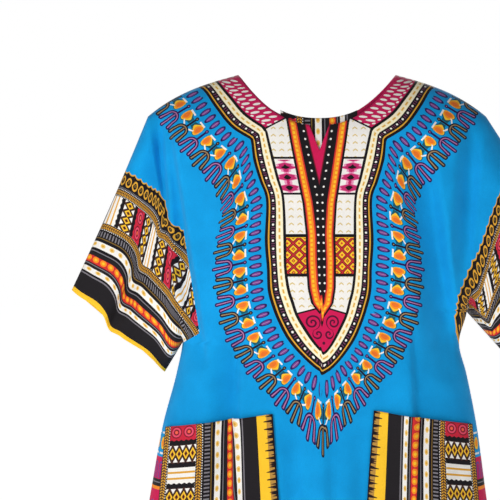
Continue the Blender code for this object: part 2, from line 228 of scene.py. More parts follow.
def body_grid(panel, side):
    """Points of half a body: rows from the neckline and shoulder down to the hem, columns outwards.

    A row spreads its columns by angle round the body, and the rows above the underarm share out each
    column's own drop to the underarm's level.
    """
    sign = SLEEVES[side]["sign"]
    neck_start = NOTCH_COLUMNS + NECK_COLUMNS
    start = np.concatenate(
        [
            np.linspace(0.0, NOTCH_HALF_WIDTH, NOTCH_COLUMNS + 1),
            np.linspace(NOTCH_HALF_WIDTH, NECK_HALF_WIDTH, NECK_COLUMNS + 1)[1:],
            np.linspace(NECK_HALF_WIDTH, TIP_HALF_WIDTH, SHOULDER_COLUMNS + 1)[1:],
        ]
    )
    top = np.minimum(seam_height(start), neck_edge(panel, start))
    underarm = SLEEVES[side]["underarm"][1]
    down = np.linspace(0.0, 1.0, ARMHOLE_ROWS + 1)[:, None]
    upper = top + (underarm - top) * down
    skirt = np.linspace(underarm, HEM, SKIRT_ROWS + 1)[1:, None]
    z = np.vstack([upper, np.repeat(skirt, len(start), axis=1)])
    first = np.arcsin(start / body_half_width(side, top))
    edge = np.arcsin(np.clip(edge_half_width(side, z[:, -1]) / body_half_width(side, z[:, -1]), 0.0, 1.0))
    even = np.linspace(0.0, 1.0, len(start))
    ease = np.clip(np.arange(len(z)) / ARMHOLE_ROWS, 0.0, 1.0)[:, None]
    share = (1 - ease) * first / first[-1] + ease * even
    x = body_half_width(side, z) * np.sin(share * edge[:, None])
    x[0] = start
    y = body_depth(panel, side, sign, x, z)
    y[:, -1] = np.where(z[:, -1] <= underarm, 0.0, y[:, -1])
    y[0, neck_start:] = 0.0
    return np.stack([x, y, z], axis=2)


def sleeve_grid(panel, side, root):
    """Points of half a sleeve, rings from its root to the cuff.

    A ring is held as each point's share of the chord from sleeve top to underarm, its offset from the chord
    and its depth. They ease from the root's own to a flat oval at the cuff. Puckers, bell curves across the
    ring, draw the cloth up or let it down and press it in or out, more so towards the cuff.
    """
    sleeve = SLEEVES[side]
    angle = np.linspace(0.0, math.pi, len(root))
    top_start = root[0, [0, 2]]
    low_start = root[-1, [0, 2]]
    chord = low_start - top_start
    length = np.linalg.norm(chord)
    unit = chord / length
    flat = root[:, [0, 2]] - top_start
    start = np.stack([flat @ unit / length, flat @ np.array([-unit[1], unit[0]]), root[:, 1]], axis=1)
    cuff = np.stack([(1 - np.cos(angle)) / 2, 0 * angle, sleeve["cuff_depth"] * np.sin(angle)], axis=1)
    t = np.linspace(0.0, 1.0, SLEEVE_RINGS + 1)[:, None]
    ease = (t * t * (3 - 2 * t))[..., None]
    top = top_start + (np.array(sleeve["cuff_outer"]) - top_start) * t
    top = top + np.array([1.0, 0.5]) * sleeve["bow"] * np.sin(math.pi * t)
    low = low_start + (np.array(sleeve["cuff_inner"]) - low_start) * t
    held = (1 - ease) * start + ease * cuff
    span = (low - top)[:, None, :]
    aside = np.stack([-span[..., 1], span[..., 0]], axis=-1) / np.linalg.norm(span, axis=-1, keepdims=True)
    place = top[:, None, :] + held[..., :1] * span + held[..., 1:2] * aside
    depth = held[..., 2]
    if panel == "front":
        strength = sleeve["pucker"] * np.clip((t - 0.15) / 0.45, 0.0, 1.0) ** 1.5
        for share, width, draw, press in PUCKERS:
            bell = np.exp(-(((held[..., 0] - share) / width) ** 2)) * strength
            place = place - (draw * bell)[..., None] * aside * np.sign(aside[..., :1])
            depth = depth + press * bell * np.sin(math.pi * held[..., 0].clip(0, 1))
    return np.stack([place[..., 0], depth, place[..., 1]], axis=2)


def grid_faces(index, flip):
    """Quads of a grid of vertex numbers."""
    quads = np.stack([index[:-1, :-1], index[1:, :-1], index[1:, 1:], index[:-1, 1:]], axis=2).reshape(-1, 4)
    return quads[:, ::-1] if flip else quads


# The print's own coordinates are the front view's centimetres, corrected for the chest being nearer the eye.
PRINT_SCALE = 103.7
PRINT_SHIFT = (0.38, 1.0)
# X of the middle of the bib's outline, and the centre strip's lean from it. Columns: height, lean.
OUTLINE_AXIS = 0.27
LEAN = np.array([(0.0, -0.27), (-8.0, -0.2), (-19.4, 0.13), (-31.0, 0.45), (-44.0, 0.88), (-58.0, 0.6)])
LEAN_REACH = 9.0

# Stations round the bib, in centimetres from its axis and below the neck points. Columns: the bib's edge,
# the ends of the combs outside it, and the edge of the panel inside its bands.
STATION = [(name, float) for name in ("edge_x", "edge_z", "comb_x", "comb_z", "panel_x", "panel_z")]
BIB_FRONT = np.array(
    [
        (19.0, -1.0, 27.2, -4.4, 16.2, 0.6),
        (17.8, -2.1, 25.4, -6.6, 15.0, -1.2),
        (16.1, -4.8, 23.3, -9.7, 13.5, -3.1),
        (13.6, -8.0, 20.2, -13.5, 11.3, -5.8),
        (10.5, -10.0, 16.7, -17.6, 8.05, -8.2),
        (10.2, -13.0, 15.4, -20.2, 7.0, -12.7),
        (9.2, -16.4, 15.3, -21.8, 6.2, -16.0),
        (8.2, -19.4, 15.6, -23.3, 5.4, -19.2),
        (8.4, -25.6, 16.4, -27.8, 5.2, -25.4),
        (8.1, -29.8, 16.5, -31.8, 5.2, -29.6),
        (8.0, -33.3, 16.1, -35.6, 4.8, -33.0),
        (7.4, -35.8, 15.5, -38.6, 4.2, -35.2),
        (6.5, -38.3, 14.2, -42.0, 3.6, -37.2),
        (5.2, -41.0, 12.0, -45.4, 2.5, -39.3),
        (3.3, -43.5, 8.9, -49.0, 1.4, -41.2),
        (1.4, -45.4, 4.2, -54.4, 0.5, -42.4),
        (0.0, -46.3, 0.0, -59.4, 0.0, -42.9),
    ],
    dtype=STATION,
)
BIB_BACK = np.array(
    [
        (19.0, -1.0, 27.2, -4.4, 16.2, 0.6),
        (17.8, -2.1, 25.4, -6.6, 15.0, -1.2),
        (16.6, -5.0, 23.6, -10.2, 13.9, -3.5),
        (14.2, -8.3, 20.3, -14.4, 11.6, -6.5),
        (10.6, -11.2, 15.2, -18.1, 8.7, -8.6),
        (5.6, -13.2, 8.0, -20.7, 4.6, -10.2),
        (0.0, -13.9, 0.0, -21.7, 0.0, -10.8),
    ],
    dtype=STATION,
)
# Which row of the front's stations is the corner where the neck's arm of the bib meets its sides
BIB_CORNER = 4
RING_WIDTH = 8.0
BANDS_WIDTH = 3.1
# Share of the way from the bib's edge to the combs' ends at which the ovals and the combs are measured
OVAL_LINE = 0.19
COMB_LINE = 0.65
BEYOND = 99.0
STATION_STEPS = 24


def smooth_rows(rows, corner=None):
    """Points along a curve through the rows: cubic pieces whose slopes are half the neighbours' step.

    At a corner each piece's slope is its own step, so that the curve bends sharply there.
    """
    before = np.vstack([rows[:1], rows[:-1]])
    after = np.vstack([rows[1:], rows[-1:]])
    slope = (after - before) / 2
    t = np.linspace(0.0, 1.0, STATION_STEPS, endpoint=False)[None, :, None]
    first, second = rows[:-1, None], rows[1:, None]
    start, end = slope[:-1, None].copy(), slope[1:, None].copy()
    if corner is not None:
        start[corner] = rows[corner + 1] - rows[corner]
        end[corner - 1] = rows[corner] - rows[corner - 1]
    rise = 3 * t**2 - 2 * t**3
    curve = first * (1 - rise) + second * rise + start * (t**3 - 2 * t**2 + t) + end * (t**3 - t**2)
    return np.vstack([curve.reshape(-1, rows.shape[1]), rows[-1:]])


def lengths(points):
    """Length along a row of points, from its last point."""
    step = np.linalg.norm(np.diff(points, axis=0), axis=1)
    return np.concatenate([[0.0], np.cumsum(step[::-1])])[::-1]


def between_curves(inner, outer, x, z):
    """Where points lie between two curves: (row along the curves, share of the way from inner to outer).

    The curves are joined by straight rulings; a point's ruling is where the cross product of the ruling
    with the point's offset changes sign, and of several such rulings the one it lies nearest to counts.
    """
    ruling = outer - inner
    point = np.stack([x.ravel(), z.ravel()], axis=1)
    off = point[:, None, :] - inner[None, :, :]
    turn = ruling[None, :, 0] * off[..., 1] - ruling[None, :, 1] * off[..., 0]
    reach = (off * ruling[None]).sum(axis=2) / (ruling**2).sum(axis=1)
    crossing = turn[:, :-1] * turn[:, 1:] <= 0
    cost = np.where(crossing, np.abs(reach[:, :-1] - 0.5), 1e3)
    cell = cost.argmin(axis=1)
    rows = np.arange(len(point))
    found = cost[rows, cell] < 1e3
    one, two = turn[rows, cell], turn[rows, cell + 1]
    part = np.where(found & (np.abs(one - two) > 1e-12), one / np.where(one == two, 1, one - two), 0.0)
    share = reach[rows, cell] * (1 - part) + reach[rows, cell + 1] * part
    share = np.where(found, share, 9.0)
    return (cell + part).reshape(x.shape), share.reshape(x.shape)


def print_place(points, sign):
    """Signed distance from the print's axis, and height, in the print's centimetres."""
    x = points[..., 0] * sign * PRINT_SCALE + PRINT_SHIFT[0]
    z = points[..., 2] * PRINT_SCALE + PRINT_SHIFT[1]
    x = x - OUTLINE_AXIS
    lean = np.interp(z, LEAN[::-1, 0], LEAN[::-1, 1]) * np.clip(1 - np.abs(x) / LEAN_REACH, 0.0, 1.0)
    return x - lean, z


def bib_maps(panel, x, z):
    """The numbers round the bib: along the combs or bands, out from the edge, and along the ovals."""
    table = BIB_FRONT if panel == "front" else BIB_BACK
    corner = {"edge": BIB_CORNER, "comb": None, "panel": BIB_CORNER} if panel == "front" else {}
    curve = {
        name: smooth_rows(np.stack([table[name + "_x"], table[name + "_z"]], axis=1), corner.get(name))
        for name in ("edge", "comb", "panel")
    }
    far = {name: lengths(points) for name, points in curve.items()}
    combs = lengths(curve["edge"] * (1 - COMB_LINE) + curve["comb"] * COMB_LINE)
    row_out, out = between_curves(curve["edge"], curve["comb"], x, z)
    row_in, inward = between_curves(curve["edge"], curve["panel"], x, z)
    index = np.arange(len(far["edge"]))
    outside = (out >= 0) & (out < 2)
    inside = (inward > 0) & (inward < 2.2) & ~outside
    along = np.where(outside, np.interp(row_out, index, combs), np.interp(row_in, index, far["panel"]))
    oval_line = curve["edge"] * (1 - OVAL_LINE) + curve["comb"] * OVAL_LINE
    ovals = np.interp(row_out, index, lengths(oval_line))
    edge_here = np.interp(z, curve["edge"][::-1, 1], curve["edge"][::-1, 0])
    core = (x < edge_here) & (z > curve["edge"][-1, 1])
    rest = np.where(core, -2.2 * BANDS_WIDTH, BEYOND)
    away = np.where(outside, out * RING_WIDTH, np.where(inside, -inward * BANDS_WIDTH, rest))
    return along, away, ovals


BORDER_WIDTH = 19.4
BORDER_CENTIMETRE = 1.05
# Height at which the border's inner edge meets the side seam at the left, below the underarm
BORDER_END = -0.440
# At the right the cloth is drawn in at the underarm. By height: X of the border's inner edge on the body,
# and the distance across the border of the sleeve's root and the side seam.
BORDER_INNER = np.array(
    [(-0.276, 0.237), (-0.290, 0.231), (-0.320, 0.2185), (-0.344, 0.208), (-0.384, 0.2045), (-0.417, 0.217)]
)
BORDER_ROOT = np.array(
    [
        (-0.064, -8.0),
        (-0.208, -2.0),
        (-0.276, 0.0),
        (-0.290, 0.6),
        (-0.320, 1.6),
        (-0.341, 3.0),
        (-0.352, 8.5),
        (-0.366, 10.2),
        (-0.374, 2.6),
        (-0.384, 1.9),
        (-0.417, 0.0),
        (-0.440, -3.0),
        (-0.760, -9.0),
    ]
)
# How far along the border the right sleeve's top lies
BORDER_PHASE = 7.1
# Cloth taken up by the puckers of the left sleeve's front. Columns: way round the sleeve as it shows, way
# along the border.
GATHER = np.array(
    [(0, -1), (2.4, 1.3), (9.4, 8.5), (12.2, 12.1), (14.5, 15.7), (18.7, 19.3), (24, 22.9), (40, 38)]
)
# Share of the cloth's extra length, over the straight distance, that counts across the right border
BORDER_SLACK = 0.25
DRAWN_IN = 0.008
DRAWN_START = 0.012
DRAWN_SLEEVE = 0.060
FAR_INSIDE = 9.0


def tuck_distance(panel, side, x, z):
    """Centimetres outward from the bottom of the tuck beside the left sleeve of the front."""
    if panel != "front" or side != "left":
        return np.full(x.shape, FAR_INSIDE)
    x_top, z_top, x_end, z_end = FOLDS[0][1:5]
    middle = np.abs(x_top + (x_end - x_top) * (z_top - z) / (z_top - z_end))
    reach, underarm = SLEEVES[side]["underarm"]
    foot = z - underarm - 0.6 * (reach - x)
    return np.minimum(x - middle, foot) * 100


def cloth_object(name, points, faces, maps, materials, kind):
    """A sheet of cloth: its outer surface, UV maps from values at its points, a Solidify wall inwards."""
    mesh = bpy.data.meshes.new(name)
    mesh.from_pydata(points.tolist(), [], faces.tolist())
    for title, values in maps.items():
        layer = mesh.uv_layers.new(name=title)
        corner = np.zeros(len(mesh.loops), dtype=np.int32)
        mesh.loops.foreach_get("vertex_index", corner)
        layer.data.foreach_set("uv", values[corner].astype(np.float32).ravel())
    for material in materials:
        mesh.materials.append(material)
    mesh.polygons.foreach_set("material_index", kind.astype(np.int32))
    mesh.shade_smooth()
    mesh.update()
    piece = bpy.data.objects.new(name, mesh)
    bpy.context.scene.collection.objects.link(piece)
    wall = piece.modifiers.new("wall", "SOLIDIFY")
    wall.thickness = WALL
    wall.offset = -1.0
    wall.use_even_offset = False
    return piece


PLAIN, BIB, RING, BORDER, HEM_BAND = range(5)
HEM_TOP_SIDE = -55.4
HEM_TOP_CENTRE = -69.0
# Distances from the axis between which the band's upper edge climbs, and one beyond both for the sleeves
HEM_CLIMB = (7.0, 16.0)
HEM_BEYOND = 40
# How far past the bib's edge and past the ring their prints are still laid
BIB_SPREAD = 0.3
RING_SPREAD = 0.6


def hem_top(u):
    """Height of the hem band's upper edge, in the print's centimetres: lowest at the centre."""
    share = np.clip((np.abs(u) - HEM_CLIMB[0]) / (HEM_CLIMB[1] - HEM_CLIMB[0]), 0.0, 1.0)
    return HEM_TOP_CENTRE + (HEM_TOP_SIDE - HEM_TOP_CENTRE) * share * share * (3 - 2 * share)


def panel_surface(panel):
    """The points, faces and maps of a whole panel, its halves and their sleeves joined on shared points."""
    facing = -1 if panel == "front" else 1
    parts = {"points": [], "faces": [], "round": [], "across": [], "border": [], "hem": []}
    total = 0
    centre = None
    for side in ("left", "right"):
        sleeve = SLEEVES[side]
        sign = sleeve["sign"]
        body = body_grid(panel, side)
        root = body[: ARMHOLE_ROWS + 1, -1]
        tube = sleeve_grid(panel, side, root)
        ruling = np.linalg.norm(tube[-1] - tube[0], axis=1)
        t = np.linspace(0.0, 1.0, SLEEVE_RINGS + 1)[:, None]
        tube_w = BORDER_WIDTH - (1 - t) * ruling[None, :] * 100 / BORDER_CENTIMETRE
        around = np.linalg.norm(np.diff(tube, axis=1), axis=2)
        tube_s = np.concatenate([np.zeros((len(tube), 1)), np.cumsum(around, axis=1)], axis=1)
        tube_s *= 100 / BORDER_CENTIMETRE
        if panel == "front" and side == "left":
            tube_s = np.interp(tube_s, GATHER[:, 0], GATHER[:, 1])
        if side == "right":
            tube_s += BORDER_PHASE

        # On the body the border is measured back along each row from the sleeve's root or the side seam.
        step = np.linalg.norm(np.diff(body, axis=1), axis=2)
        nought = np.zeros((len(body), 1))
        from_edge = np.concatenate([np.cumsum(step[:, ::-1], axis=1)[:, ::-1], nought], axis=1)
        if side == "left":
            underarm = sleeve["underarm"][1]
            below = (underarm - body[:, -1, 2]) / (underarm - BORDER_END)
            seam_w = np.where(below > 0, tube_w[0, -1] * (1 - below.clip(0)), 0.0)
            seam_w[: ARMHOLE_ROWS + 1] = tube_w[0]
            body_w = seam_w[:, None] - from_edge * 100 / BORDER_CENTIMETRE
        else:
            height = body[:, -1, 2]
            seam_w = np.interp(height, BORDER_ROOT[::-1, 0], BORDER_ROOT[::-1, 1])
            run = body[:, -1:, 0] - body[..., 0]
            run = run + BORDER_SLACK * (from_edge - run)
            inner = np.interp(height, BORDER_INNER[::-1, 0], BORDER_INNER[::-1, 1], left=BEYOND, right=BEYOND)
            reach = np.array([np.interp(at, row[:, 0], gap) for at, row, gap in zip(inner, body, run)])
            natural = np.where(reach > 0, reach * 100 / BORDER_CENTIMETRE, seam_w)
            drawn = (1 - run / DRAWN_IN).clip(0) ** 2
            body_w = natural[:, None] - run * 100 / BORDER_CENTIMETRE + (seam_w - natural)[:, None] * drawn
            gone = ((t * ruling - DRAWN_START) / DRAWN_SLEEVE).clip(0, 1)
            lost = tube_w[0] - seam_w[: ARMHOLE_ROWS + 1]
            tube_w = tube_w - lost * (1 - gone * gone * (3 - 2 * gone))
        body_s = np.cumsum(np.linalg.norm(np.diff(body, axis=0, prepend=body[:1]), axis=2), axis=0)
        body_s = body_s * 100 / BORDER_CENTIMETRE + (BORDER_PHASE if side == "right" else 0.0)
        cut = np.stack([tuck_distance(panel, side, body[..., 0], body[..., 2]), body_s], axis=-1)
        beyond = tuck_distance(panel, side, tube[..., 0], tube[..., 2]).clip(0.5)
        tube_cut = np.stack([beyond, tube_s], axis=-1)

        skip = 0 if centre is None else 1
        fresh = total + np.arange(body.shape[0] * (body.shape[1] - skip)).reshape(body.shape[0], -1)
        index = fresh if centre is None else np.hstack([centre[:, None], fresh])
        total += fresh.size
        fresh_tube = total + np.arange((len(tube) - 1) * len(root)).reshape(len(tube) - 1, -1)
        total += fresh_tube.size
        tube_index = np.vstack([index[: ARMHOLE_ROWS + 1, -1], fresh_tube])
        centre = index[:, 0]

        u = np.concatenate([nought, np.cumsum(step, axis=1)], axis=1) * 100
        for grid, w, s, edge, drop in (
            (body[:, skip:], body_w[:, skip:], body_s[:, skip:], cut[:, skip:], u[:, skip:]),
            (tube[1:], tube_w[1:], tube_s[1:], tube_cut[1:], tube_w[1:] + HEM_BEYOND),
        ):
            turned = grid.reshape(-1, 3) * (sign, facing, 1)
            across, height = print_place(turned, 1.0 if panel == "front" else -1.0)
            parts["points"].append(turned)
            along, away, ovals = bib_maps(panel, np.abs(across), height)
            turn = np.where(across < 0, -1.0, 1.0)
            parts["round"].append(np.stack([along * turn, away, ovals * turn], axis=1))
            parts["across"].append(np.stack([across, height], axis=1))
            parts["border"].append(np.stack([w.ravel(), s.ravel(), edge[..., 0].ravel()], axis=1))
            parts["hem"].append(np.stack([drop.ravel() * sign, height - hem_top(drop.ravel())], axis=1))
        parts["faces"].append(grid_faces(index, sign * facing > 0))
        parts["faces"].append(grid_faces(tube_index.T, sign * facing > 0))
    joined = {name: np.vstack(values) for name, values in parts.items()}
    joined["points"][:, 1] += facing * SEAM_GAP / 2
    return joined


def panel_kinds(surface):
    """Which print each face carries, from the middle of its corners' map values."""
    faces = surface["faces"]
    nearest = surface["round"][:, 1][faces].min(axis=1)
    w = surface["border"][:, 0][faces]
    edge = surface["border"][:, 2][faces]
    hem = surface["hem"][:, 1][faces]
    kind = np.full(len(faces), PLAIN)
    kind[(nearest < RING_WIDTH + RING_SPREAD) & (nearest > BIB_SPREAD)] = RING
    kind[nearest <= BIB_SPREAD] = BIB
    border = (w.max(axis=1) > -0.6) & (edge.max(axis=1) > 0)
    kind[border] = BORDER
    kind[(hem.min(axis=1) < 0) & ~border] = HEM_BAND
    return kind


class Wire:
    """A number carried through a material's nodes. Arithmetic on it adds Math nodes."""

    def __init__(self, tree, value):
        self.tree = tree
        self.value = value

    def math(self, operation, *others):
        node = self.tree.nodes.new("ShaderNodeMath")
        node.operation = operation
        for socket, given in zip(node.inputs, (self, *others)):
            value = given.value if isinstance(given, Wire) else given
            if isinstance(value, (int, float)):
                socket.default_value = value
            else:
                self.tree.links.new(value, socket)
        return Wire(self.tree, node.outputs[0])

    def __add__(self, other):
        return self.math("ADD", other)

    def __sub__(self, other):
        return self.math("SUBTRACT", other)

    def __rsub__(self, other):
        return Wire(self.tree, other).math("SUBTRACT", self)

    def __mul__(self, other):
        return self.math("MULTIPLY", other)

    def __truediv__(self, other):
        return self.math("DIVIDE", other)

    def __gt__(self, other):
        return self.math("GREATER_THAN", other)

    def __lt__(self, other):
        return self.math("LESS_THAN", other)

    def __and__(self, other):
        return self.math("MULTIPLY", other)

    def __or__(self, other):
        return self.math("MAXIMUM", other)

    def __abs__(self):
        return self.math("ABSOLUTE")

    def least(self, other):
        return self.math("MINIMUM", other)

    def most(self, other):
        return self.math("MAXIMUM", other)

    def sine(self):
        return self.math("SINE")

    def inside(self, low, high):
        """1 between the two bounds, else 0: within half their distance of their middle."""
        return abs(self - (low + high) / 2) < (high - low) / 2

    def beside(self, pitch, start=0.0):
        """Distance from the nearest of the marks set every pitch from the start."""
        return (self - start if start else self).math("PINGPONG", pitch / 2)

    def wrapped(self, pitch, start=0.0):
        """Signed distance from the nearest of the marks set every pitch from the start."""
        return (self - start if start else self).math("WRAP", pitch / 2, -pitch / 2)


def far(a, b):
    """Length of the offset (a, b): the root of the sum of squares."""
    return (a * a + b * b).math("SQRT")


def ink(red, green, blue):
    """A dye's colour from its 0-255 display values: the display curve undone, channel by channel."""
    channel = [value / 255 for value in (red, green, blue)]
    return [c / 12.92 if c <= 0.04045 else ((c + 0.055) / 1.055) ** 2.4 for c in channel] + [1.0]


BLUE = ink(8, 151, 215)
BLUE_DEEP = ink(2, 138, 202)
TEAL = ink(18, 138, 178)
BLACK = ink(22, 18, 22)
SOFT_BLACK = ink(30, 27, 30)
NAVY = ink(34, 24, 82)
PURPLE = ink(104, 66, 138)
MAUVE = ink(170, 108, 152)
TAN = ink(150, 122, 86)
WHITE = ink(230, 226, 220)
CREAM = ink(240, 230, 198)
GOLD = ink(210, 154, 50)
PALE_GOLD = ink(232, 200, 124)
OLIVE = ink(120, 92, 40)
YELLOW = ink(240, 188, 44)
ORANGE = ink(236, 134, 34)
RED = ink(200, 44, 44)
CRIMSON = ink(196, 22, 78)
MAROON = ink(112, 22, 38)
GREY = ink(120, 116, 122)
BROWN = ink(70, 42, 34)
BLUE_BLACK = ink(24, 26, 44)
SEA_GREEN = ink(20, 84, 96)
RUST = ink(222, 110, 40)
SPIRAL = ink(74, 14, 46)

# Distance between the threads of the weave, in metres
THREAD_PITCH = 0.0011


class Dyed:
    """A cotton material whose colour is built up coat by coat, each over the last where its mask is 1."""

    def __init__(self, name, base):
        self.material = bpy.data.materials.new(name)
        self.material.use_nodes = True
        self.tree = self.material.node_tree
        self.shader = self.tree.nodes["Principled BSDF"]
        self.shader.inputs["Roughness"].default_value = 0.82
        self.shader.inputs["Metallic"].default_value = 0.0
        self.shader.inputs["Specular IOR Level"].default_value = 0.13
        self.shader.inputs["Sheen Weight"].default_value = 0.05
        self.shader.inputs["Sheen Roughness"].default_value = 0.45
        place = self.tree.nodes.new("ShaderNodeTexCoord").outputs["Object"]
        self.cloud = self.noise(place, scale=26.0, detail=4.0)
        self.thread = self.noise(place, scale=620.0, detail=2.0)
        split = self.tree.nodes.new("ShaderNodeSeparateXYZ")
        self.tree.links.new(place, split.inputs[0])
        count = 2 * math.pi / THREAD_PITCH
        warp = (Wire(self.tree, split.outputs["X"]) * count).sine()
        weft = (Wire(self.tree, split.outputs["Z"]) * count).sine()
        bump = self.tree.nodes.new("ShaderNodeBump")
        bump.inputs["Strength"].default_value = 0.35
        bump.inputs["Distance"].default_value = 0.0004
        relief = self.thread * 1.6 + warp * weft * 0.4
        self.tree.links.new(relief.value, bump.inputs["Height"])
        self.tree.links.new(bump.outputs["Normal"], self.shader.inputs["Normal"])
        self.colour = base

    def noise(self, place, scale, detail):
        node = self.tree.nodes.new("ShaderNodeTexNoise")
        node.inputs["Scale"].default_value = scale
        node.inputs["Detail"].default_value = detail
        self.tree.links.new(place, node.inputs["Vector"])
        return Wire(self.tree, node.outputs["Fac"])

    def uv(self, name):
        """The two numbers of a UV map."""
        node = self.tree.nodes.new("ShaderNodeUVMap")
        node.uv_map = name
        split = self.tree.nodes.new("ShaderNodeSeparateXYZ")
        self.tree.links.new(node.outputs["UV"], split.inputs[0])
        return Wire(self.tree, split.outputs["X"]), Wire(self.tree, split.outputs["Y"])

    def blend(self, factor, first, second):
        """The first colour where the factor is 0 and the second where it is 1. Each may be a node's."""
        mix = self.tree.nodes.new("ShaderNodeMix")
        mix.data_type = "RGBA"
        self.tree.links.new(factor.value, mix.inputs["Factor"])
        for socket, value in ((mix.inputs[6], first), (mix.inputs[7], second)):
            if isinstance(value, list):
                socket.default_value = value
            else:
                self.tree.links.new(value, socket)
        return mix.outputs[2]

    def ground(self):
        """The plain ground: one blue with faint clouds of a deeper one."""
        return self.blend(self.cloud, BLUE_DEEP, BLUE)

    def coat(self, mask, colour):
        """Lays a colour, or another node's colour, over what is there where the mask is 1."""
        self.colour = self.blend(mask, self.colour, colour)

    def bands(self, number, edges, low, high):
        """A colour by bands of a number, as (where the band starts, its colour) from low to high."""
        node = self.tree.nodes.new("ShaderNodeValToRGB")
        ramp = node.color_ramp
        ramp.interpolation = "CONSTANT"
        for k, (start, colour) in enumerate(edges):
            at = min(max((start - low) / (high - low), 0.0), 1.0)
            stop = ramp.elements[0] if k == 0 else ramp.elements.new(at)
            stop.position = at
            stop.color = colour
        ramp.elements.remove(ramp.elements[-1])
        self.tree.links.new(((number - low) / (high - low)).value, node.inputs["Fac"])
        return node.outputs["Color"]

    def done(self):
        """Fades the colour a little by the cloth's clouding and threads, and hands over the material."""
        fade = self.cloud * 0.16 + self.thread * 0.22 + 0.81
        worn = self.tree.nodes.new("ShaderNodeMix")
        worn.data_type = "RGBA"
        worn.blend_type = "MULTIPLY"
        worn.inputs["Factor"].default_value = 1.0
        self.tree.links.new(self.colour, worn.inputs[6])
        self.tree.links.new(fade.value, worn.inputs[7])
        self.tree.links.new(worn.outputs[2], self.shader.inputs["Base Color"])
        return self.material


def plain_blue():
    """Cotton in the ground's blue alone."""
    cloth = Dyed("blue_cotton", BLUE)
    cloth.colour = cloth.ground()
    return cloth.done()


# Pitches along the ring outside the bib
OVAL_PITCH = 1.28
COMB_PITCH = 2.7


def ring_print():
    """Ovals next to the bib, then a row of teardrops on stems, then combs by turns purple and black."""
    cloth = Dyed("ring_print", BLUE)
    cloth.colour = cloth.ground()
    along, out = cloth.uv("round")
    ovals, _ = cloth.uv("ovals")
    along, ovals = abs(along), abs(ovals)
    o = ovals.beside(OVAL_PITCH, OVAL_PITCH / 2)
    across = o / (out * -0.05 + 0.49)
    outward = (out - 1.55) / 1.02
    oval = 1.0 - (across * across + outward * outward)
    cloth.coat(oval > 0.0, NAVY)
    cloth.coat(oval > 0.54, PURPLE)
    cloth.coat((oval > 0.70) & (o < 0.06), MAUVE)

    # Black combs stand every second pitch from the axis, purple ones between them.
    b = along.beside(2 * COMB_PITCH)
    a = along.beside(COMB_PITCH)
    is_black = b < COMB_PITCH / 2
    dark = cloth.blend(is_black, NAVY, BLUE_BLACK)
    light = cloth.blend(is_black, MAUVE, TAN)

    # Teardrops: round end away from the black comb's stem, point towards it
    x = (b - 0.22) / 1.90
    y = (out - 3.95) / 1.42
    drop = x * x * x * (1.0 - x) * 4.6 - y * y
    inside_x = (x > 0.0) & (x < 1.0)
    for level, colour in ((-0.12, SEA_GREEN), (0.02, YELLOW), (0.16, ORANGE), (0.34, RUST)):
        cloth.coat((drop > level) & inside_x, colour)

    # White dashes beside the stems
    inner_dash = (abs(out - 2.98) < 0.13) & b.inside(0.7, 1.9)
    lean = out + b * 0.6
    outer_dash = (abs(lean - 5.35) < 0.13) & b.inside(0.35, 1.25)
    cloth.coat(inner_dash | outer_dash, WHITE)

    # Combs: an arch with its legs outward and a middle tooth
    low = (out - 6.0).least(0.0)
    leg_end = (out - 7.3).most(0.0)
    splayed = a / ((out - 6.0).most(0.0) * 0.13 + 1.0)
    arch = far(far(splayed, low) - 0.86, leg_end)
    tooth = far(a, (out - 5.4).least(0.0) + (out - 7.75).most(0.0))
    hand = arch.least(tooth)
    stem = far(a, (out - 5.0).most(0.0) + (out - 3.4).least(0.0))
    knob = far(a, out - 3.1)
    cloth.coat((hand < 0.29) | (stem < 0.17) | (knob < 0.30), dark)
    cloth.coat((hand < 0.08) | (knob < 0.10), light)
    return cloth.done()


LEAF_PITCH = 1.05
DOT_PITCH = 1.24


